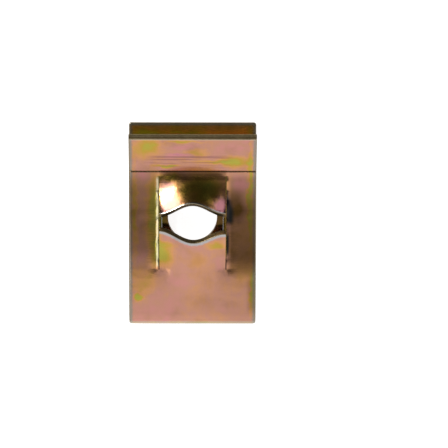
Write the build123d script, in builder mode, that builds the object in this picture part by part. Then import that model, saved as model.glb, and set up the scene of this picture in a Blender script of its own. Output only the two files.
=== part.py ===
from build123d import *
from math import atan, cos, degrees, pi, radians, sin, sqrt, tan
import os

# A U-shaped spring-steel speed nut, folded from one strip. It lies on its plain
# back leg, with the two thread tongues of the front leg on top.
# X runs across the strip, Y from the fold to the open mouth, Z up along the screw.
# The origin is where the screw's axis meets the under face of the back leg.
# The side profile is drawn in a plane of its own: "along" runs from the centre of
# the fold towards the mouth, and "rise" from the back leg towards the front leg.

# ---- strip
strip_width = 16.0
sheet = 0.8  # thickness of the steel
end_corner = 0.28  # corners of the strip's two ends
outer_edge = 0.26  # edge rolled by the die, on the outside of the clip
inner_edge = 0.10  # broken burr, on the inside

# ---- fold and back leg
fold_radius = 1.65  # outside of the fold
back_straight = 7.0  # flat run of the back leg from the fold
bow_radius = 92.0  # then it bows away from the front leg
bow_angle = 6.6
back_end_run = 6.45  # straight run at the open end

# ---- front leg and lead-in lip
root_straight = 2.4  # flat run of the front leg from the fold
lean_angle = 6.0  # it leans towards the back leg
slit_start = 5.9  # the slits' end nearer the fold
lean_end = 12.3  # here the leg begins to straighten
slit_end = 17.9  # the slits' end nearer the lip
land_run = 0.5  # straight leg above the slits' end
crease_ahead = 0.53  # from the slits' end to the crease of the lead-in lip
lip_angle = 25.2
lip_radius = 0.15
lip_run = 5.22
lip_shear = 20.0  # the lip's cut end is this far from square

# ---- screw hole in the back leg
hole_along = 12.1
hole_radius = 3.1

# ---- tongues of the front leg
tongue_half = 4.16  # half width of a tongue
slit_width = 0.12
tongue_offset = 0.4  # the tongues' opening is centred this far past the hole
tongue_gap = 4.85  # between the two tips at the middle, for the screw's root
tip_outer_edge = 0.12  # softened corners of the cut edge
tip_inner_edge = 0.08
stations = 9  # side profiles across a tongue

# lower tongue, rising from the fold's side
hip_lift = 0.83  # over the leg, level with the slits' start
hip_slope = 18.8
lower_lift = 2.36  # its tip over the slits' start, at the middle
lower_corner_lift = 2.05  # the same at its corners
lower_corner_back = 1.15  # from the opening's centre back to its corners
lower_slope = 20.3
lower_corner_slope = 26.0
lead_lift = 0.12  # the tip climbs across, as the screw's thread does
lead_back = 0.17

# upper tongue, rising from the lip's side
upper_lift = 2.29
upper_corner_lift = 2.41
upper_corner_ahead = 1.1  # from the opening's centre to its corners
upper_slope = 38.5
upper_corner_slope = 48.0
upper_bend = 0.35  # how slowly it leaves the leg, at the middle
upper_corner_bend = 0.5
upper_ramp = 1.5  # how early it is straight, at the middle
upper_corner_ramp = 1.3

# ---- catch for the panel's hole, pushed in from the back leg
catch_side = 0.76  # steel left beside the screw hole
catch_clearance = 0.03  # beside the catch, where it is sheared
catch_rim = 0.7  # steel left between the screw hole and the catch's cut end
catch_root_ahead = 1.9  # from the screw's axis to the root
catch_height = 0.58
catch_leave = 1.2  # how slowly it leaves the leg
catch_level = 3.8  # how long it stays level before its end

# ---- swelling on the outside of the back leg, beside the fold
swell_along = 3.0
swell_radius = 2.8
swell_height = 0.47
swell_crown = 1.3  # how broad its top is
swell_skirt = 1.3  # how gently it meets the leg
swell_foot_slope = 9.0


# ---- how the clip rests: on the swelling and on the end of the back leg
bow_end = back_straight + bow_radius * sin(radians(bow_angle))
back_reach = bow_end + back_end_run * cos(radians(bow_angle))
bow_drop = bow_radius * (1 - cos(radians(bow_angle)))
end_drop = bow_drop + back_end_run * sin(radians(bow_angle))
rest_tilt = atan((end_drop - swell_height) / (back_reach - swell_along))


def back_rise(along, depth):
    """rise of the back leg's surface that lies `depth` under its outer face"""
    run = max(along - back_straight, 0)
    return -fold_radius - bow_radius + sqrt((bow_radius + depth) ** 2 - run**2)


hole_rise = back_rise(hole_along, 0)
side = Plane(
    origin=(
        0,
        hole_rise * sin(rest_tilt) - hole_along * cos(rest_tilt),
        -hole_rise * cos(rest_tilt) - hole_along * sin(rest_tilt),
    ),
    x_dir=(0, cos(rest_tilt), sin(rest_tilt)),
    z_dir=(1, 0, 0),
)

# ---- places that follow from the sizes above
lean_drop = (slit_start - root_straight) / 2 * tan(radians(lean_angle))
slit_start_rise = fold_radius - lean_drop
slope_drop = (lean_end - slit_start) * tan(radians(lean_angle))
settle_radius = (slit_end - land_run - lean_end) / sin(radians(lean_angle))
settle_drop = settle_radius * (1 - cos(radians(lean_angle)))
land_rise = slit_start_rise - slope_drop - settle_drop
lip_start = slit_end + crease_ahead
opening = hole_along + tongue_offset
catch_half = hole_radius + catch_side
catch_end = hole_along - hole_radius - catch_rim
catch_root = hole_along + catch_root_ahead
gap_middle = Plane(
    origin=side.from_local_coords(Vector(0, (land_rise - fold_radius) / 2)),
    x_dir=(1, 0, 0),
    z_dir=side.y_dir,
)
through = 3 * fold_radius  # from between the legs to clear of either leg
length_slack = sheet / 20  # within this, an edge is as long as the sheet is thick
line_slack = sheet / 100  # within this, an edge lies on a line


def turned(length, slope):
    """step of that length in the side profile, at that slope in degrees"""
    return Vector(length, 0).rotate(Axis.Z, slope)


def under(point, slope, depth):
    """the point `depth` under a face of that slope"""
    return point + turned(depth, slope - 90)


def blend(start, end, start_slope, end_slope):
    """curve that leaves and arrives at the given slopes in degrees"""
    reach = (end.X - start.X) / 3
    leave = Vector(reach, reach * tan(radians(start_slope)))
    arrive = Vector(reach, reach * tan(radians(end_slope)))
    return Bezier(start, start + leave, end - arrive, end)


def skin(depth):
    """the strip's surface at that depth, from the back leg's end to the lip's"""
    radius = fold_radius - depth

    # back leg
    flat = Line((back_straight, -radius), (0, -radius))
    bow = JernArc(flat @ 0, (1, 0), bow_radius + depth, -bow_angle)
    back_end = Line(bow @ 1, bow @ 1 + (bow % 1) * back_end_run)

    # fold
    ThreePointArc((0, -radius), (-radius, 0), (0, radius))

    # front leg
    root = Line((0, radius), (root_straight, radius))
    lean_point = under(Vector(slit_start, slit_start_rise), -lean_angle, depth)
    lean = blend(root @ 1, lean_point, 0, -lean_angle)
    slope_run = (lean_end - slit_start) / cos(radians(lean_angle))
    slope = Line(lean @ 1, lean @ 1 + turned(slope_run, -lean_angle))
    settle = JernArc(slope @ 1, slope % 1, settle_radius + depth, lean_angle)
    land = Line(settle @ 1, (lip_start, land_rise - depth))

    # lip
    crease = JernArc(land @ 1, (1, 0), lip_radius + depth, lip_angle)
    lip_length = lip_run + depth * tan(radians(lip_shear))
    lip = Line(crease @ 1, crease @ 1 + turned(lip_length, lip_angle))
    return back_end @ 1, lip @ 1


def bell(across, middle, corner):
    """value that goes from a tongue's middle to its corners and levels out at both"""
    share = (1 - cos(pi * across / tongue_half)) / 2
    return middle + (corner - middle) * share


def arch(across, middle, corner):
    """value that goes from a tongue's middle to its corners, ever faster"""
    return middle + (corner - middle) * (across / tongue_half) ** 2


def tongue_tip(tip, ahead, inward):
    """cut edge of a tongue with its softened corners, from the outer face to the inner"""
    outer_start = tip - ahead * tip_outer_edge
    inner_stop = tip + inward * sheet - ahead * tip_inner_edge
    outer_round = TangentArc(outer_start, tip + inward * tip_outer_edge, tangent=ahead)
    cut = Line(outer_round @ 1, tip + inward * (sheet - tip_inner_edge))
    TangentArc(cut @ 1, inner_stop, tangent=inward)
    return outer_start, inner_stop


def lower_tongue(across):
    """side profile of the lower tongue at a place across it"""
    lead = across / tongue_half
    tip_along = opening + bell(across, -tongue_gap / 2, -lower_corner_back) - lead_back * lead
    tip_lift = bell(across, lower_lift, lower_corner_lift) + lead_lift * lead
    tip_slope = bell(across, lower_slope, lower_corner_slope)
    middle_hip = Vector(slit_start, slit_start_rise)
    hip = middle_hip + (0, bell(across, hip_lift, 0))
    slope = bell(across, hip_slope, -lean_angle)
    outer_root = Vector(root_straight, fold_radius)
    inner_root = outer_root - (0, sheet)
    inner_hip = under(hip, slope, sheet)

    tip = Vector(tip_along, slit_start_rise + tip_lift)
    outer_end, inner_end = tongue_tip(tip, turned(1, tip_slope), turned(1, tip_slope - 90))
    blend(outer_root, hip, 0, slope)
    blend(hip, outer_end, slope, tip_slope)
    blend(inner_hip, inner_end, slope, tip_slope)
    blend(inner_root, inner_hip, 0, slope)
    Line(inner_root, outer_root)


def upper_tongue(across):
    """side profile of the upper tongue at a place across it"""
    tip_along = opening + bell(across, tongue_gap / 2, upper_corner_ahead)
    tip_lift = bell(across, upper_lift, upper_corner_lift)
    tip_slope = arch(across, upper_slope, upper_corner_slope)
    outer_root = Vector(slit_end, land_rise)
    inner_root = outer_root - (0, sheet)
    leave = Vector(arch(across, upper_bend, upper_corner_bend), 0)
    ahead = turned(1, 180 - tip_slope)
    arrive = ahead * arch(across, upper_ramp, upper_corner_ramp)

    tip = Vector(tip_along, land_rise + tip_lift)
    outer_end, inner_end = tongue_tip(tip, ahead, turned(1, 270 - tip_slope))
    Bezier(outer_root, outer_root - leave, outer_end - arrive, outer_end)
    Bezier(inner_root, inner_root - leave, inner_end - arrive, inner_end)
    Line(inner_root, outer_root)


def tongue_profiles(profile):
    """side profiles of a tongue at even steps across it"""
    sketches = []
    for step in range(stations):
        across = tongue_half * (2 * step / (stations - 1) - 1)
        with BuildSketch(side.offset(across)) as station:
            with BuildLine():
                profile(across)
            make_face()
        sketches.append(station.sketch)
    return sketches


def catch_face(depth):
    """face of the catch that was `depth` under the back leg's outer face"""
    root = Vector(catch_root, back_rise(catch_root, depth))
    end = Vector(catch_end, back_rise(catch_end, depth) + catch_height)
    root_slope = -degrees((catch_root - back_straight) / bow_radius)
    return Bezier(root, root - turned(catch_leave, root_slope), end + (catch_level, 0), end)


def swelling(depth):
    """half section of the swelling, `depth` under its outer face, running on past that face"""
    crown = Vector(swell_along, depth - fold_radius - swell_height)
    foot = Vector(swell_along + swell_radius, depth - fold_radius)
    past_foot = foot + turned(sheet / 2, swell_foot_slope)
    Bezier(crown, crown + (swell_crown, 0), foot - turned(swell_skirt, swell_foot_slope), foot)
    Polyline(foot, past_foot, (crown.X, past_foot.Y), crown)


with BuildLine() as outer_skin:
    skin(0)

with BuildLine() as inner_skin:
    skin(sheet)


def lies_on(edge, surface):
    """whether an edge of the strip follows a line of the side profile"""
    middle = side.to_local_coords(edge @ 0.5)
    return surface.line.distance_to(Vertex(middle.X, middle.Y, 0)) < line_slack


with BuildPart() as clip:
    # the folded strip, with its corners rounded and its edges softened
    with BuildSketch(side):
        with BuildLine():
            outer_ends = skin(0)
            inner_ends = skin(sheet)
            for outer_end, inner_end in zip(outer_ends, inner_ends):
                Line(outer_end, inner_end)
        make_face()
    extrude(amount=strip_width / 2, both=True)
    fillet(clip.edges().filter_by(lambda edge: abs(edge.length - sheet) < length_slack), end_corner)
    fillet(clip.edges().filter_by(lambda edge: lies_on(edge, outer_skin)), outer_edge)
    fillet(clip.edges().filter_by(lambda edge: lies_on(edge, inner_skin)), inner_edge)

    # the front leg is sheared open, and the two tongues are raised out of it
    with BuildSketch(gap_middle):
        with Locations((0, (root_straight + slit_end) / 2)):
            Rectangle(2 * tongue_half, slit_end - root_straight)
        with Locations((0, (slit_start + slit_end) / 2)):
            Rectangle(2 * (tongue_half + slit_width), slit_end - slit_start)
    extrude(amount=through, mode=Mode.SUBTRACT)
    loft(tongue_profiles(lower_tongue))
    loft(tongue_profiles(upper_tongue))

    # the catch is sheared on three sides and pushed in from the back leg
    with BuildSketch(gap_middle):
        with Locations((0, (catch_end + catch_root) / 2)):
            Rectangle(2 * (catch_half + catch_clearance), catch_root - catch_end)
    extrude(amount=-through, mode=Mode.SUBTRACT)
    with BuildSketch(side):
        with BuildLine():
            inner_face = catch_face(sheet)
            outer_face = catch_face(0)
            Line(inner_face @ 0, outer_face @ 0)
            Line(inner_face @ 1, outer_face @ 1)
        make_face()
    extrude(amount=catch_half, both=True)

    # the swelling: a dome outside, and a hollow of the same form inside
    swell_axis = Axis(side.from_local_coords(Vector(swell_along, 0)), side.y_dir)
    with BuildSketch(side):
        with BuildLine():
            swelling(0)
        make_face()
    revolve(axis=swell_axis)
    with BuildSketch(side):
        with BuildLine():
            swelling(sheet)
        make_face()
    revolve(axis=swell_axis, mode=Mode.SUBTRACT)

    # the screw hole, through the back leg and its catch alone
    with BuildSketch(Plane.XY.offset(-sheet)):
        Circle(hole_radius)
    extrude(amount=3 * sheet + catch_height, mode=Mode.SUBTRACT)

print("rest tilt", degrees(rest_tilt))
print("valid", clip.part.is_valid, "solids", len(clip.solids()), "volume", clip.part.volume)
print(clip.part.bounding_box())

os.makedirs("parts", exist_ok=True)
clip.part.label = "clip"
export_step(clip.part, "parts/clip.step")
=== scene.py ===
import math

import bpy
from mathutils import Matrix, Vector
from mathutils import noise as ripple
from mathutils.bvhtree import BVHTree


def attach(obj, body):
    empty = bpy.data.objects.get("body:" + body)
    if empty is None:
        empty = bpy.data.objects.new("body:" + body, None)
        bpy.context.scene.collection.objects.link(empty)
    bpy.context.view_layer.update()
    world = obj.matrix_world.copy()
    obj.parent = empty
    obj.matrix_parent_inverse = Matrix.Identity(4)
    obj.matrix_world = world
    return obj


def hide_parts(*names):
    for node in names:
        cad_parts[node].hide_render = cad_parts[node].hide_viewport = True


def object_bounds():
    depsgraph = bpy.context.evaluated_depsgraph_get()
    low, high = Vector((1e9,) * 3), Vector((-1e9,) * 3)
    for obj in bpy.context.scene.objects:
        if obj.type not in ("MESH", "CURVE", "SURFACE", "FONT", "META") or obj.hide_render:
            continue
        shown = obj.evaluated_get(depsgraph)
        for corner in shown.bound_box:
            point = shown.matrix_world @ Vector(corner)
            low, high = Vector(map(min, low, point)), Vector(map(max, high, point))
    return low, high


# U clip speed nut: one folded strip of zinc-plated steel with a yellow chromate film.
# X runs across the strip, Y from the fold to the open mouth, Z up along the screw.

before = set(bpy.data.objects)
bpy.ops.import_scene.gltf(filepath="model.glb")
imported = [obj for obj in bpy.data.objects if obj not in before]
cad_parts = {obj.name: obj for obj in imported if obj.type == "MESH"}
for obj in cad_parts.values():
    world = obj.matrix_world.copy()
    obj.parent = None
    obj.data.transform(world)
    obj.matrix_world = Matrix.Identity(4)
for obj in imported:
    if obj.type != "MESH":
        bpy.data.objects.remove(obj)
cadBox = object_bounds()
mm = 0.001
print("stage: frame loaded")


def deselectAll():
    if bpy.context.object and bpy.context.object.mode != "OBJECT":
        bpy.ops.object.mode_set(mode="OBJECT")
    bpy.ops.object.select_all(action="DESELECT")


def makeActive(piece):
    deselectAll()
    piece.select_set(True)
    bpy.context.view_layer.objects.active = piece


def ease(value, start, full):
    # 0 at start, 1 at full, and smooth at both ends
    share = max(0, min(1, (value - start) / (full - start)))
    return share * share * (3 - 2 * share)


# the folded strip's mesh, and the marks that the press left on it
clipShape = {
    "node": "clip",
    "mergeWithin": 0.0005 * mm,
    "cell": 0.5 * mm,  # no face is longer than this
    "cutThreshold": 0.0001 * mm,
    "sliver": 0.002 * mm,
    "smoothAngle": 32,
    "frontLegZ": 1.5 * mm,  # the front leg lies above this
    "facingUp": (0.5, 0.85),  # from a slope to the flat, by the normal
    "slitX": 4.28 * mm,  # rail's rim at a slit
    "slitY": (-6.25 * mm, 5.75 * mm),
    "rimHeight": 0.13 * mm,  # the rims were dragged up with the tongues
    "rimReach": 0.55 * mm,
    "rimOverlap": 0.02 * mm,
    "rimFade": 1.0 * mm,  # towards the slit's ends
    "rimLevel": 0.8,
    "rimWaver": 1.5,
    "rimWaverStretch": 1.5,
    "rimCuts": [0.06 * mm, 0.14 * mm, 0.24 * mm, 0.36 * mm],
    "creaseY": 6.3 * mm,
    "creaseDepth": 0.08 * mm,
    "creaseReach": 0.11 * mm,
    "creaseCuts": [-1.5, -1, -0.5, 0, 0.5, 1, 1.5],  # in reaches
    "tongueX": 4.2 * mm,
    "upperTongueY": (0.5 * mm, 5.6 * mm),
    "cornerStart": (1.8 * mm, 2.7 * mm),  # the upper tongue droops from here to its left and right sides
    "cornerFade": 1.6 * mm,
    "cornerDrop": 0.2 * mm,
    "twistAcross": 2.2 * mm,  # its right corner droops more
    "twistAlong": 3.3 * mm,
    "twistAbove": 2.0 * mm,
    "twist": 0.05,  # drop in mm, for each mm across and each mm along
    "rootRise": 0.12 * mm,  # it leaves the leg early
    "rootX": (4.3 * mm, 2.9 * mm),
    "rootY": (4.3 * mm, 5.55 * mm, 6.15 * mm),
    "dimples": [(-4.85 * mm, -6.2 * mm), (4.75 * mm, -6.25 * mm)],
    "dimpleDepth": 0.07 * mm,
    "dimpleReach": 0.55 * mm,
    "foldCorner": 0.34 * mm,  # the strip's corners are rounded at the bottom of the fold
    "foldCornerFrom": 6.8 * mm,
}


def evenSpots(low, high, step):
    count = math.ceil((high - low) / step)
    return [low + (high - low) * (n + 0.5) / count for n in range(count)]


def cutAt(spots, axis):
    point = Vector()
    normal = Vector()
    normal[axis] = 1
    for spot in spots:
        point[axis] = spot
        bpy.ops.mesh.select_all(action="SELECT")
        bpy.ops.mesh.bisect(plane_co=point, plane_no=normal, threshold=clipShape["cutThreshold"])


def makeClip():
    makeActive(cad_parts[clipShape["node"]])
    bpy.ops.object.duplicate()
    clip = bpy.context.object
    clip.name = "folded_strip"
    clip.data.name = "folded_strip"
    bpy.ops.mesh.customdata_custom_splitnormals_clear()
    bpy.ops.object.mode_set(mode="EDIT")
    bpy.ops.mesh.select_all(action="SELECT")
    bpy.ops.mesh.remove_doubles(threshold=clipShape["mergeWithin"])
    low, high = cadBox
    cutAt(evenSpots(low[0], high[0], clipShape["cell"]), 0)
    cutAt(evenSpots(low[1], high[1], clipShape["cell"]), 1)
    for away in clipShape["rimCuts"]:
        rim = clipShape["slitX"] + away
        cutAt([-rim, rim], 0)
    crease = clipShape["creaseY"]
    reach = clipShape["creaseReach"]
    cutAt([crease + share * reach for share in clipShape["creaseCuts"]], 1)
    bpy.ops.mesh.select_all(action="SELECT")
    bpy.ops.mesh.dissolve_degenerate(threshold=clipShape["sliver"])
    bpy.ops.object.mode_set(mode="OBJECT")
    return clip


def pushMesh(clip, name, weightAt, distance, axis="Z", above=clipShape["frontLegZ"]):
    group = clip.vertex_groups.new(name=name)
    for vertex in clip.data.vertices:
        weight = weightAt(vertex.co, vertex.normal) if vertex.co.z > above else 0
        if weight > 0:
            group.add([vertex.index], weight, "REPLACE")
    makeActive(clip)
    push = clip.modifiers.new(name, "DISPLACE")
    push.vertex_group = name
    push.direction = axis
    push.mid_level = 0
    push.strength = distance
    bpy.ops.object.modifier_apply(modifier=push.name)


def rimWeight(place, normal):
    away = abs(place.x) - clipShape["slitX"]
    if away < -clipShape["rimOverlap"] or away > clipShape["rimReach"]:
        return 0
    start, end = clipShape["slitY"]
    inward = min(place.y - start, end - place.y)
    spot = Vector((place.x, place.y * clipShape["rimWaverStretch"], 0)) / mm
    height = clipShape["rimLevel"] + clipShape["rimWaver"] * ripple.noise(spot)
    return height * ease(away, clipShape["rimReach"], 0) ** 2 * ease(inward, 0, clipShape["rimFade"])


def creaseWeight(place, normal):
    away = abs(place.y - clipShape["creaseY"])
    return ease(away, clipShape["creaseReach"], 0) * ease(normal.z, *clipShape["facingUp"])


def cornerWeight(place, normal):
    low, high = clipShape["upperTongueY"]
    if abs(place.x) > clipShape["tongueX"] or not low <= place.y <= high:
        return 0
    start = clipShape["cornerStart"][place.x > 0]
    share = max(0, (abs(place.x) - start) / (clipShape["slitX"] - start))
    return share ** 2 * ease(place.y, high, high - clipShape["cornerFade"])


def twistWeight(place, normal):
    if place.x > clipShape["tongueX"] or place.z < clipShape["twistAbove"]:
        return 0
    if place.y < clipShape["upperTongueY"][0]:
        return 0
    across = max(0, place.x - clipShape["twistAcross"]) / mm
    along = max(0, clipShape["twistAlong"] - place.y) / mm
    return across * along * clipShape["twist"]


def rootWeight(place, normal):
    start, crest, stop = clipShape["rootY"]
    middle = ease(abs(place.x), *clipShape["rootX"])
    return middle * ease(place.y, start, crest) * ease(place.y, stop, crest)


def dimpleWeight(place, normal):
    if normal.z < clipShape["facingUp"][0]:
        return 0
    away = min(math.dist(place[:2], dimple) for dimple in clipShape["dimples"])
    return ease(away, clipShape["dimpleReach"], 0)


def foldCornerWeight(place):
    # a quarter circle, seen from above
    depth = (cadBox[0][1] - place.y) / clipShape["foldCorner"] + 1
    if depth <= 0:
        return 0
    across = ease(abs(place.x), clipShape["foldCornerFrom"], cadBox[1][0])
    return across * (1 - math.sqrt(max(0, 1 - depth ** 2)))


def leftFoldWeight(place, normal):
    return foldCornerWeight(place) if place.x < 0 else 0


def rightFoldWeight(place, normal):
    return foldCornerWeight(place) if place.x > 0 else 0


# what the material needs to know of the faces, kept as attributes of the mesh; a facing is the part
# of the normal that points that way
faceMarks = {
    "sheet": 0.8 * mm,
    "skin": 0.005 * mm,
    "sheared": (1.03, 1.33),  # a face is sheared where this many sheets of steel lie under it
    "lipEndPast": 10.9 * mm,
    "lipEndAbove": 4.0 * mm,
    "lipEndFacing": 0.25,
    "slitSides": (4.0 * mm, 4.5 * mm),
    "slitSideFacing": 0.7,
    "betweenLegs": 1.3 * mm,
    "insideFacing": 0.3,
    "tipX": 4.15 * mm,
    "tipY": 3.5 * mm,
    "tipZ": 2.2 * mm,
    "tipFacing": 0.9,
}


def isLipEnd(polygon):
    if polygon.center.y < faceMarks["lipEndPast"] or polygon.center.z < faceMarks["lipEndAbove"]:
        return False
    return polygon.normal.y > faceMarks["lipEndFacing"]


def isSlitSide(polygon):
    low, high = faceMarks["slitSides"]
    return low < abs(polygon.center.x) < high and abs(polygon.normal.x) > faceMarks["slitSideFacing"]


def markCutFaces(clip):
    # one sheet of steel lies under the rolled skin, and far more under a sheared edge
    mesh = clip.data
    tree = BVHTree.FromPolygons([v.co for v in mesh.vertices], [p.vertices for p in mesh.polygons])
    cutFace = mesh.attributes.new("cutFace", "FLOAT", "FACE")
    for polygon in mesh.polygons:
        start = polygon.center - polygon.normal * faceMarks["skin"]
        place, normal, index, depth = tree.ray_cast(start, -polygon.normal)
        share = ease((depth or 0) / faceMarks["sheet"], *faceMarks["sheared"])
        if isLipEnd(polygon) or isSlitSide(polygon):
            share = 1
        cutFace.data[polygon.index].value = share


def markInside(clip):
    # faces that look into the gap between the legs
    inside = clip.data.attributes.new("inside", "FLOAT", "FACE")
    for polygon in clip.data.polygons:
        facing = polygon.normal.z if polygon.center.z < faceMarks["betweenLegs"] else -polygon.normal.z
        inside.data[polygon.index].value = facing > faceMarks["insideFacing"]


def isTip(polygon):
    centre = polygon.center
    if abs(centre.x) > faceMarks["tipX"] or abs(polygon.normal.x) > faceMarks["tipFacing"]:
        return False
    return centre.z > faceMarks["tipZ"] and abs(centre.y) < faceMarks["tipY"]


def isLowerTip(polygon):
    return isTip(polygon) and polygon.center.y < 0


def isUpperTip(polygon):
    return isTip(polygon) and polygon.center.y > 0


def markDistance(clip, name, wanted):
    # how far each vertex is from the sheared faces that are wanted, in millimetres
    mesh = clip.data
    cutFace = mesh.attributes["cutFace"].data
    faces = [p.vertices for p in mesh.polygons if cutFace[p.index].value > 0.5 and wanted(p)]
    tree = BVHTree.FromPolygons([v.co for v in mesh.vertices], faces)
    distance = mesh.attributes.new(name, "FLOAT", "POINT")
    for vertex in mesh.vertices:
        place, normal, index, away = tree.find_nearest(vertex.co)
        distance.data[vertex.index].value = away / mm


def finishClip(clip):
    makeActive(clip)
    bpy.ops.object.shade_smooth_by_angle(angle=math.radians(clipShape["smoothAngle"]))
    weighted = clip.modifiers.new("weighted normals", "WEIGHTED_NORMAL")
    weighted.keep_sharp = True
    bpy.ops.object.modifier_apply(modifier=weighted.name)


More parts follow.
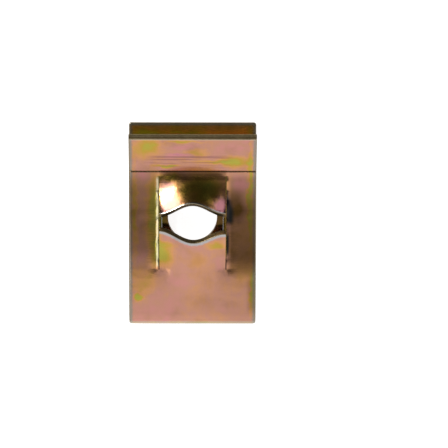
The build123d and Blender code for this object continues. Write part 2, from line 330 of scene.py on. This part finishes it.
# yellow chromate over zinc: the film's thickness sets its colour. Lengths and places are in mm, and
# a range that fades is given by its two ends and the fade.
chromate = {
    "film": [  # from a thin film to a thick one
        (0.00, (0.40, 0.17, 0.25)),
        (0.16, (0.58, 0.24, 0.23)),
        (0.34, (0.52, 0.255, 0.18)),
        (0.52, (0.60, 0.29, 0.12)),
        (0.70, (0.50, 0.31, 0.055)),
        (0.85, (0.41, 0.37, 0.06)),
        (1.00, (0.26, 0.34, 0.12)),
    ],
    "usual": 0.31,
    "thinnest": 0.1,
    "thickest": 0.84,
    "thickerInside": 0.34,
    "filmNoise": [  # stretch, scale, detail, distortion and strength
        ((1.0, 1.0, 1.0), 0.16, 3, 0.4, 0.45),  # slow drift
        ((1.0, 1.0, 1.0), 0.7, 4, 0.3, 0.30),  # fine cloud
        ((5.0, 0.25, 1.0), 1.0, 3, 0.0, 0.10),  # rolling streaks
    ],
    "patches": [  # place across and along the strip, reach both ways, and change of thickness
        (-5.9, 10.0, 2.3, 1.3, 0.46),
        (5.2, 7.7, 2.6, 1.0, 0.50),
        (2.4, 7.7, 3.2, 0.35, 0.25),
        (-5.6, 8.7, 2.6, 0.9, 0.20),
        (0.6, 9.0, 1.8, 0.7, 0.22),
        (4.5, 9.6, 2.4, 0.9, -0.10),
        (-1.6, 8.6, 2.8, 0.4, -0.26),
        (-1.2, 9.9, 2.6, 0.5, -0.14),
        (-3.2, 7.0, 1.9, 0.3, 0.50),
        (-1.0, 10.6, 3.0, 0.2, 0.30),
        (-3.7, -4.0, 1.8, 2.3, 0.47),
        (-2.9, -2.7, 1.6, 0.6, 0.20),
        (2.9, -2.8, 1.6, 0.7, 0.36),
        (3.4, -5.6, 0.9, 1.6, -0.12),
        (7.25, 3.0, 0.5, 9.0, 0.50),
        (-7.3, 0.5, 0.5, 8.5, 0.34),
        (7.6, -9.0, 0.5, 3.6, 0.50),
        (-7.0, -10.0, 0.7, 0.6, 0.50),
        (-6.6, -7.6, 2.0, 2.6, 0.14),
        (6.4, -6.6, 1.8, 2.0, 0.14),
        (0.5, -4.8, 4.6, 2.8, 0.12),
        (0.0, -10.5, 9.0, 3.8, 0.07),
        (3.0, -11.0, 3.0, 1.6, -0.06),
        (-1.4, 3.6, 1.3, 2.6, 0.16),
        (-6.2, -9.0, 1.6, 2.4, 0.14),
        (-4.9, 0.0, 1.4, 8.0, 0.34),
        (-6.4, 0.0, 2.0, 8.0, 0.04),
        (-4.8, 1.4, 1.1, 4.8, 0.26),
        (6.0, 0.0, 2.4, 8.0, 0.10),
        (6.0, 4.7, 1.3, 1.5, -0.24),
        (5.9, 0.9, 1.0, 1.3, -0.26),
        (-6.2, 5.6, 1.6, 0.9, -0.12),
        (1.3, 3.9, 3.6, 2.6, 0.46),
        (3.5, 2.1, 1.0, 1.2, -0.54),
        (-3.0, 5.6, 1.6, 0.7, 0.42),
        (0.0, -13.6, 16.0, 0.35, 0.35),
    ],
    "patchEdge": (1.25, 0.1),  # in reaches
    "patchWobble": (1.6, 1.0),
    "wobbleNoise": (0.8, 3),
    "rolled": (0.20, 0.07, 0.09),
    "rolledAcross": (-5.2, 4.6, 1.2),
    "rolledAlong": (6.9, 8.7, 0.4),
    "rolledNoise": ((0.12, 5.0, 1.0), 3),
    "rolledContrast": (0.52, 0.60),
    "rolledShare": 0.45,
    "bareZinc": (0.25, 0.25, 0.21),
    # bare zinc, also used for the painted highlight on the upper tongue's tip
    "tipZincAndHighlight": (0.40, 0.43, 0.44),
    # pale worn metal, also used for painted highlights on edges
    "wornEdgeAndHighlight": (0.72, 0.68, 0.50),
    "grainNoise": (3.0, 4),
    "rubbed": [  # what is measured, how much the grain frays it, where it starts and is full, share, colour
        ("fromMiddle", 0.3, 7.56, 7.90, 0.80, "bareZinc"),
        ("along", 0.2, 11.60, 11.84, 0.85, "bareZinc"),
        # the fold's bottom edge: worn film with a painted highlight
        ("towardFold", 0.15, 13.18, 13.40, 0.38, "wornEdgeAndHighlight"),
        ("lowerTip", 0.35, 0.72, 0.38, 0.85, "tipZincAndHighlight"),
        # the upper tongue's tip: a thin line painted light as a highlight on its rounded edge
        ("upperTip", 0.1, 0.28, 0.16, 0.80, "tipZincAndHighlight"),
    ],
    # a painted highlight along the lip's rounded edge
    "lipEdgeHighlight": {"along": (10.84, 11.00, 0.06), "up": (4.0, 4.4), "share": 0.8},
    "lipShadow": {"along": (11.03, 11.15, 0.04), "up": (4.2, 4.5), "share": 0.7},
    # a painted highlight on the left slit's rim only, the rim that faces the light
    "leftRimHighlight": {"across": (-4.42, -4.05, 0.08), "along": (-5.9, 5.5, 0.3), "fray": 0.3, "share": 0.6},
    # the dark colour of painted shade and shadow, and of random darker clouds
    "shadeAndClouds": (0.08, 0.04, 0.01),
    # painted shade in the crease
    "creaseShade": {"below": 0.08, "above": 0.06, "fade": 0.05, "share": 0.75},
    "cloudNoise": (0.35, 3),
    "cloudContrast": (0.45, 0.75),
    "cloudShare": 0.18,
    # painted shade on faces inside the gap
    "shadeInside": 0.28,
    "shadedAreas": [  # painted shade: ranges across and along, each with its fade, and share
        ((-12.0, -4.65, 0.25), (-4.6, 5.5, 1.3), 0.50),
        ((-12.0, -4.5, 0.3), (0.6, 4.7, 0.9), 0.16),
        ((-12.0, -5.4, 0.8), (-9.0, -5.5, 0.9), 0.12),
        ((4.6, 12.0, 0.4), (-7.0, 5.6, 0.5), 0.38),
        ((4.6, 12.0, 0.4), (-5.6, 3.6, 1.4), 0.30),
        ((4.3, 6.2, 0.6), (0.0, 3.9, 0.9), 0.24),
        ((7.0, 12.0, 0.4), (-11.8, -7.4, 0.8), 0.34),
        ((-4.1, 4.2, 0.2), (5.2, 6.34, 0.12), 0.45),
        ((-12.0, -4.3, 0.3), (5.0, 6.8, 0.5), 0.16),
        ((3.5, 12.0, 3.5), (-16.0, -3.0, 2.0), 0.14),
    ],
    # near-black painted shade beside the right slit
    "rightSlitShade": (0.012, 0.017, 0.019),
    "rightSlitShadeFrom": (4.16, 4.24),
    "rightSlitShadeShare": 0.95,
    "rightSlitShadeWedge": {"edge": (4.66, 3.98), "along": (-0.5, 4.0, 0.4), "widens": (4.4, 0.8), "by": 0.8},
    "rightSlitShadeStrip": {"edge": (4.75, 4.45), "along": (-4.6, -1.5, 0.7)},
    "frontLeg": (1.4, 1.6),  # marks made by place fade in here, so that the back leg has none
    "shearedDark": (0.19, 0.145, 0.075),
    "shearedLight": (0.36, 0.28, 0.15),
    "scoreNoise": ((10, 10, 1.8), 5),
    "scoreContrast": (0.25, 0.8),
    "roughness": 0.15,
    "roughnessNoise": (1.2, 4),
    "roughnessVaries": 0.10,
    "rougherSheared": 0.22,
    "fineNoise": ((9, 2.5, 9), 4),
    "chatterNoise": ((1.2, 7.0, 1.0), 3),
    "chatterAcross": (4.2, 5.8, 0.5),
    "chatter": 3.0,
    "scoreDepth": 2.0,
    "reliefStrength": 0.08,
    "reliefHeight": 0.02,
}


def newMaterial(name):
    material = bpy.data.materials.new(name)
    material.use_nodes = True
    material.node_tree.nodes.clear()
    return material.node_tree, material


def put(tree, value, socket):
    # a socket takes another node's output, or a fixed value
    if isinstance(value, bpy.types.NodeSocket):
        tree.links.new(value, socket)
    else:
        socket.default_value = value


def calculate(tree, operation, first, second=0.0, third=0.0):
    node = tree.nodes.new("ShaderNodeMath")
    node.operation = operation
    for value, socket in zip((first, second, third), node.inputs):
        put(tree, value, socket)
    return node.outputs["Value"]


def calculateVector(tree, operation, first, second=(0, 0, 0), third=(0, 0, 0)):
    node = tree.nodes.new("ShaderNodeVectorMath")
    node.operation = operation
    for value, socket in zip((first, second, third), node.inputs):
        put(tree, value, socket)
    return node.outputs["Value" if operation in ("LENGTH", "DOT_PRODUCT") else "Vector"]


def product(tree, first, *others):
    for other in others:
        first = calculate(tree, "MULTIPLY", first, other)
    return first


def spread(tree, value, fromLow, fromHigh, toHigh=1.0):
    node = tree.nodes.new("ShaderNodeMapRange")
    node.interpolation_type = "SMOOTHSTEP"
    put(tree, value, node.inputs["Value"])
    node.inputs["From Min"].default_value = fromLow
    node.inputs["From Max"].default_value = fromHigh
    node.inputs["To Max"].default_value = toHigh
    return node.outputs["Result"]


def between(tree, value, low, high, fade):
    rise = spread(tree, value, low - fade, low + fade)
    return product(tree, rise, spread(tree, value, high + fade, high - fade))


def mixed(tree, share, first, second):
    node = tree.nodes.new("ShaderNodeMix")
    node.data_type = "RGBA"
    put(tree, share, node.inputs[0])
    put(tree, first, node.inputs[6])  # 6 and 7 are the sockets for colours
    put(tree, second, node.inputs[7])
    return node.outputs[2]


def paint(tree, share, colour, name):
    return mixed(tree, share, colour, (*chromate[name], 1))


def scaled(tree, vector, scale, location=(0, 0, 0)):
    node = tree.nodes.new("ShaderNodeMapping")
    tree.links.new(vector, node.inputs["Vector"])
    node.inputs["Location"].default_value = location
    node.inputs["Scale"].default_value = scale
    return node.outputs["Vector"]


def noise(tree, vector, scale, detail, distortion=0.0):
    node = tree.nodes.new("ShaderNodeTexNoise")
    tree.links.new(vector, node.inputs["Vector"])
    node.inputs["Scale"].default_value = scale
    node.inputs["Detail"].default_value = detail
    node.inputs["Distortion"].default_value = distortion
    return node.outputs


def stretchedNoise(tree, vector, stretch, detail):
    return noise(tree, scaled(tree, vector, stretch), 1.0, detail)["Fac"]


def attribute(tree, name):
    node = tree.nodes.new("ShaderNodeAttribute")
    node.attribute_name = name
    return node.outputs["Fac"]


def ramp(tree, value, stops):
    node = tree.nodes.new("ShaderNodeValToRGB")
    elements = node.color_ramp.elements
    while len(elements) < len(stops):
        elements.new(0.5)
    for element, (position, colour) in zip(elements, stops):
        element.position = position
        element.color = (*colour, 1)
    tree.links.new(value, node.inputs["Fac"])
    return node.outputs["Color"]


def filmThickness(tree, place):
    # the noise is centred on the usual thickness
    film = chromate["usual"] - sum(row[-1] for row in chromate["filmNoise"]) / 2
    for stretch, scale, detail, distortion, strength in chromate["filmNoise"]:
        level = noise(tree, scaled(tree, place, stretch), scale, detail, distortion)["Fac"]
        film = calculate(tree, "MULTIPLY_ADD", level, strength, film)

    # patches where the film ran thick or thin, with wobbly edges
    wobbleX, wobbleY = chromate["patchWobble"]
    wobble = noise(tree, place, *chromate["wobbleNoise"])["Color"]
    wobbled = calculateVector(tree, "MULTIPLY_ADD", wobble, (wobbleX, wobbleY, 0), place)
    for x, y, wide, long, change in chromate["patches"]:
        centre = (-(x + wobbleX / 2) / wide, -(y + wobbleY / 2) / long, 0)
        away = calculateVector(tree, "LENGTH", scaled(tree, wobbled, (1 / wide, 1 / long, 0), centre))
        film = calculate(tree, "MULTIPLY_ADD", spread(tree, away, *chromate["patchEdge"]), change, film)
    film = calculate(tree, "MULTIPLY_ADD", attribute(tree, "inside"), chromate["thickerInside"], film)
    film = calculate(tree, "MAXIMUM", film, chromate["thinnest"])
    return calculate(tree, "MINIMUM", film, chromate["thickest"])


def addRolledLines(tree, spot, colour):
    # on the lip, just ahead of its crease
    level = stretchedNoise(tree, spot["place"], *chromate["rolledNoise"])
    share = product(
        tree,
        spread(tree, level, *chromate["rolledContrast"]),
        between(tree, spot["along"], *chromate["rolledAlong"]),
        between(tree, spot["across"], *chromate["rolledAcross"]),
        spot["front"],
        chromate["rolledShare"],
    )
    return paint(tree, share, colour, "rolled")


def addWear(tree, spot, colour):
    # the film is rubbed off the strip's sides and end and the tongues' tips; the fold's edge and the upper
    # tongue's tip are also painted lighter as highlights
    for measured, fray, start, full, share, metal in chromate["rubbed"]:
        edge = calculate(tree, "MULTIPLY_ADD", spot["grain"], fray, spot[measured])
        colour = paint(tree, spread(tree, edge, start, full, share), colour, metal)

    # and painted highlights along the lip's rounded edge and the left slit's rim, in the pale worn-metal
    # colour
    lip = chromate["lipEdgeHighlight"]
    share = product(tree, between(tree, spot["along"], *lip["along"]), spread(tree, spot["up"], *lip["up"]))
    colour = paint(tree, product(tree, share, lip["share"]), colour, "wornEdgeAndHighlight")
    # painted highlight on the left slit's rim
    rim = chromate["leftRimHighlight"]
    edge = calculate(tree, "MULTIPLY_ADD", spot["grain"], rim["fray"], spot["across"])
    share = product(tree, between(tree, edge, *rim["across"]), between(tree, spot["along"], *rim["along"]))
    return paint(tree, product(tree, share, spot["front"], rim["share"]), colour, "wornEdgeAndHighlight")


def addCreaseShade(tree, spot, colour):
    # a painted shade line in the crease, on the front leg's outside
    creaseShadeBand = chromate["creaseShade"]
    crease = clipShape["creaseY"] / mm
    share = between(tree, spot["along"], crease - creaseShadeBand["below"], crease + creaseShadeBand["above"], creaseShadeBand["fade"])
    outside = calculate(tree, "SUBTRACT", spot["front"], spot["inside"])
    return paint(tree, product(tree, share, outside, creaseShadeBand["share"]), colour, "shadeAndClouds")


def addCloudsAndShade(tree, spot, colour):
    # random darker clouds, then painted shade on the rails beside the slits (the right one most), under the
    # crease, towards the lower right and on faces inside the gap
    level = noise(tree, spot["place"], *chromate["cloudNoise"])["Fac"]
    dark = spread(tree, level, *chromate["cloudContrast"], chromate["cloudShare"])
    for acrossRange, alongRange, share in chromate["shadedAreas"]:
        area = product(tree, between(tree, spot["across"], *acrossRange), spot["front"])
        area = product(tree, area, between(tree, spot["along"], *alongRange))
        dark = calculate(tree, "MULTIPLY_ADD", area, share, dark)
    dark = calculate(tree, "MULTIPLY_ADD", spot["inside"], chromate["shadeInside"], dark)
    return paint(tree, dark, colour, "shadeAndClouds")


def addRightSlitShade(tree, spot, colour):
    # painted shade beside the right slit: a wedge that widens towards the upper tongue's tip, and a strip
    # below it
    wedge = chromate["rightSlitShadeWedge"]
    widening = spread(tree, spot["along"], *wedge["widens"], wedge["by"])
    narrowed = calculate(tree, "SUBTRACT", spot["across"], widening)
    upper = spread(tree, narrowed, *wedge["edge"])
    upper = product(tree, upper, between(tree, spot["along"], *wedge["along"]))
    strip = chromate["rightSlitShadeStrip"]
    lower = spread(tree, spot["across"], *strip["edge"])
    lower = product(tree, lower, between(tree, spot["along"], *strip["along"]))
    share = product(
        tree,
        calculate(tree, "ADD", upper, lower),
        spread(tree, spot["across"], *chromate["rightSlitShadeFrom"]),
        spot["front"],
        chromate["rightSlitShadeShare"],
    )
    return paint(tree, share, colour, "rightSlitShade")


def addShearedSteel(tree, spot, colour):
    # dull and dark, scored across the sheet
    worn = spread(tree, spot["score"], *chromate["scoreContrast"])
    steel = mixed(tree, worn, (*chromate["shearedDark"], 1), (*chromate["shearedLight"], 1))
    colour = mixed(tree, spot["sheared"], colour, steel)
    lip = chromate["lipShadow"]
    share = product(tree, between(tree, spot["along"], *lip["along"]), spread(tree, spot["up"], *lip["up"]))
    return paint(tree, product(tree, share, lip["share"]), colour, "shadeAndClouds")


def makeRelief(tree, spot):
    # fine rolling marks, chatter beside the slits and deeper scores on the sheared faces
    fine = stretchedNoise(tree, spot["place"], *chromate["fineNoise"])
    chatter = stretchedNoise(tree, spot["place"], *chromate["chatterNoise"])
    area = between(tree, spot["fromMiddle"], *chromate["chatterAcross"])
    relief = calculate(tree, "ADD", fine, product(tree, chatter, area, chromate["chatter"]))
    scores = product(tree, spot["score"], spot["sheared"])
    relief = calculate(tree, "MULTIPLY_ADD", scores, chromate["scoreDepth"], relief)
    bump = tree.nodes.new("ShaderNodeBump")
    bump.inputs["Strength"].default_value = chromate["reliefStrength"]
    bump.inputs["Distance"].default_value = chromate["reliefHeight"] * mm
    tree.links.new(relief, bump.inputs["Height"])
    return bump.outputs["Normal"]


def makeRoughness(tree, spot):
    varies = chromate["roughnessVaries"]
    level = noise(tree, spot["place"], *chromate["roughnessNoise"])["Fac"]
    roughness = calculate(tree, "MULTIPLY_ADD", level, varies, chromate["roughness"] - varies / 2)
    return calculate(tree, "MULTIPLY_ADD", spot["sheared"], chromate["rougherSheared"], roughness)


def chromateMaterial():
    tree, material = newMaterial("yellow_chromate")
    coords = tree.nodes.new("ShaderNodeTexCoord")
    place = scaled(tree, coords.outputs["Object"], (1 / mm, 1 / mm, 1 / mm))
    split = tree.nodes.new("ShaderNodeSeparateXYZ")
    tree.links.new(place, split.inputs["Vector"])
    across, along, up = split.outputs

    # what each layer can look up about a spot on the surface
    spot = {
        "place": place,
        "across": across,
        "along": along,
        "up": up,
        "fromMiddle": calculate(tree, "ABSOLUTE", across),
        "towardFold": product(tree, along, -1.0),
        "front": spread(tree, up, *chromate["frontLeg"]),
        "grain": noise(tree, place, *chromate["grainNoise"])["Fac"],
        "score": stretchedNoise(tree, place, *chromate["scoreNoise"]),
        "inside": attribute(tree, "inside"),
        "sheared": attribute(tree, "cutFace"),
        "lowerTip": attribute(tree, "lowerTip"),
        "upperTip": attribute(tree, "upperTip"),
    }
    colour = ramp(tree, filmThickness(tree, place), chromate["film"])
    colour = addRolledLines(tree, spot, colour)
    colour = addWear(tree, spot, colour)
    colour = addCreaseShade(tree, spot, colour)
    colour = addCloudsAndShade(tree, spot, colour)
    colour = addRightSlitShade(tree, spot, colour)
    colour = addShearedSteel(tree, spot, colour)

    shader = tree.nodes.new("ShaderNodeBsdfPrincipled")
    shader.inputs["Metallic"].default_value = 1.0
    tree.links.new(colour, shader.inputs["Base Color"])
    tree.links.new(makeRoughness(tree, spot), shader.inputs["Roughness"])
    tree.links.new(makeRelief(tree, spot), shader.inputs["Normal"])
    output = tree.nodes.new("ShaderNodeOutputMaterial")
    tree.links.new(shader.outputs["BSDF"], output.inputs["Surface"])
    return material


clip = makeClip()
pushMesh(clip, "slit rims", rimWeight, clipShape["rimHeight"])
pushMesh(clip, "crease", creaseWeight, -clipShape["creaseDepth"])
pushMesh(clip, "dimples", dimpleWeight, -clipShape["dimpleDepth"])
pushMesh(clip, "tongue root", rootWeight, clipShape["rootRise"])
pushMesh(clip, "tongue corners", cornerWeight, -clipShape["cornerDrop"])
pushMesh(clip, "right corner", twistWeight, -1 * mm)
pushMesh(clip, "fold, left", leftFoldWeight, clipShape["foldCorner"], "X", -math.inf)
pushMesh(clip, "fold, right", rightFoldWeight, -clipShape["foldCorner"], "X", -math.inf)
print("stage: press marks made")

markCutFaces(clip)
markInside(clip)
markDistance(clip, "lowerTip", isLowerTip)
markDistance(clip, "upperTip", isUpperTip)
finishClip(clip)
clip.data.materials.clear()
clip.data.materials.append(chromateMaterial())
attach(clip, "root")
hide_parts(clipShape["node"])
print("stage: clip finished,", len(clip.data.polygons), "faces")


# floor, light and camera; places in the sky run from -1 to 1 across, along and up
studio = {
    "floorHalf": 0.6,
    "floorGrey": 0.5,
    "floorGlow": 0.9,
    "floorReflected": 0.4,
    "ceiling": [  # how far towards the mouth, and how bright
        (-1.0, 1.3),
        (-0.96, 1.02),
        (-0.86, 1.12),
        (-0.50, 1.05),
        (-0.35, 1.02),
        (-0.29, 0.95),
        (-0.22, 0.88),
        (-0.16, 0.78),
        (-0.12, 0.47),
        (-0.08, 0.38),
        (0.0, 0.26),
        (0.2, 0.18),
        (0.36, 0.11),
        (0.5, 0.075),
        (0.8, 0.04),
        (1.0, 0.04),
    ],
    "windowLevel": 4.5,
    "window": [  # each edge: direction that is measured, and where the light begins and is full
        ((1.5, 1, 0), 0.28, 0.12),
        ((0, 0, 1), 0.97, 0.935),
        ((0, 1, 0), 0.10, 0.62),
        ((0.35, 1, 0), 0.68, 0.58),
        ((1, 0, 0), -0.05, -0.13),
    ],
    "leftLevel": 1.8,
    "leftStrip": [
        ((1, 0, 0), -0.28, -0.40),
        ((1, 0, 0), -0.78, -0.64),
        ((0, 1, 0), -0.42, -0.28),
        ((0, 1, 0), 0.75, 0.55),
    ],
    "rightLevel": 0.95,
    "rightGlow": [
        ((1, 0, 0), 0.42, 0.54),
        ((0, 1, 0), 0.78, 0.70),
        ((0, 1, 0), 0.40, 0.55),
    ],
    "softboxPlace": (-0.21, 0.30, 0.34),
    "softboxSize": 0.08,
    "softboxPower": 0.8,
    "cameraPlace": (-0.00074, 0.10342, 0.41741),
    "cameraTurn": (-14.065, -0.597, 0.209),
    "sensor": 36,
    "lens": 273.2,
    "nearest": 0.01,
    "farthest": 10,
}


def makeFloor():
    deselectAll()
    lowest = cadBox[0][2]
    bpy.ops.mesh.primitive_plane_add(size=2 * studio["floorHalf"], location=(0, 0, lowest))
    floor = bpy.context.object
    floor.name = "floor"
    tree, material = newMaterial("white_floor")
    output = tree.nodes.new("ShaderNodeOutputMaterial")
    matt = tree.nodes.new("ShaderNodeBsdfDiffuse")
    grey = studio["floorGrey"]
    matt.inputs["Color"].default_value = (grey, grey, grey, 1)
    glow = tree.nodes.new("ShaderNodeEmission")
    path = tree.nodes.new("ShaderNodeLightPath")
    seen = product(tree, path.outputs["Is Glossy Ray"], studio["floorReflected"])
    seen = calculate(tree, "MULTIPLY_ADD", path.outputs["Is Camera Ray"], studio["floorGlow"], seen)
    tree.links.new(seen, glow.inputs["Strength"])
    both = tree.nodes.new("ShaderNodeAddShader")
    tree.links.new(matt.outputs["BSDF"], both.inputs[0])
    tree.links.new(glow.outputs["Emission"], both.inputs[1])
    tree.links.new(both.outputs["Shader"], output.inputs["Surface"])
    floor.data.materials.append(material)


def addGlow(tree, direction, light, level, edges):
    glow = level
    for measured, start, full in edges:
        far = calculateVector(tree, "DOT_PRODUCT", direction, measured)
        glow = product(tree, glow, spread(tree, far, start, full))
    return calculate(tree, "MAXIMUM", light, glow)


def makeWorld():
    world = bpy.data.worlds.new("studio")
    bpy.context.scene.world = world
    world.use_nodes = True
    tree = world.node_tree
    tree.nodes.clear()
    coords = tree.nodes.new("ShaderNodeTexCoord")
    direction = coords.outputs["Generated"]

    # a bright ceiling on the fold's side, dark on the mouth's side
    along = calculateVector(tree, "DOT_PRODUCT", direction, (0, 1, 0))
    stops = [((towardMouth + 1) / 2, (level, level, level)) for towardMouth, level in studio["ceiling"]]
    light = ramp(tree, calculate(tree, "MULTIPLY_ADD", along, 0.5, 0.5), stops)

    # a tall window on the left, a low strip below it for the rims, and a faint glow on the right
    light = addGlow(tree, direction, light, studio["windowLevel"], studio["window"])
    light = addGlow(tree, direction, light, studio["leftLevel"], studio["leftStrip"])
    light = addGlow(tree, direction, light, studio["rightLevel"], studio["rightGlow"])

    # the camera itself sees white
    lit = tree.nodes.new("ShaderNodeBackground")
    tree.links.new(light, lit.inputs["Color"])
    white = tree.nodes.new("ShaderNodeBackground")
    white.inputs["Color"].default_value = (1, 1, 1, 1)
    path = tree.nodes.new("ShaderNodeLightPath")
    mix = tree.nodes.new("ShaderNodeMixShader")
    tree.links.new(path.outputs["Is Camera Ray"], mix.inputs["Fac"])
    tree.links.new(lit.outputs["Background"], mix.inputs[1])
    tree.links.new(white.outputs["Background"], mix.inputs[2])
    output = tree.nodes.new("ShaderNodeOutputWorld")
    tree.links.new(mix.outputs["Shader"], output.inputs["Surface"])


def makeSoftbox():
    place = Vector(studio["softboxPlace"])
    bpy.ops.object.light_add(type="AREA", location=place)
    lamp = bpy.context.object
    lamp.name = "softbox"
    lamp.data.size = studio["softboxSize"]
    lamp.data.energy = studio["softboxPower"]
    lamp.rotation_euler = (-place).to_track_quat("-Z", "Y").to_euler()


def makeCamera():
    bpy.ops.object.camera_add(location=studio["cameraPlace"])
    camera = bpy.context.object
    camera.rotation_euler = [math.radians(turn) for turn in studio["cameraTurn"]]
    camera.data.sensor_width = studio["sensor"]
    camera.data.lens = studio["lens"]
    camera.data.clip_start = studio["nearest"]
    camera.data.clip_end = studio["farthest"]
    bpy.context.scene.camera = camera


makeFloor()
makeWorld()
makeSoftbox()
makeCamera()
bpy.context.scene.view_settings.view_transform = "Standard"
print("stage: studio ready")
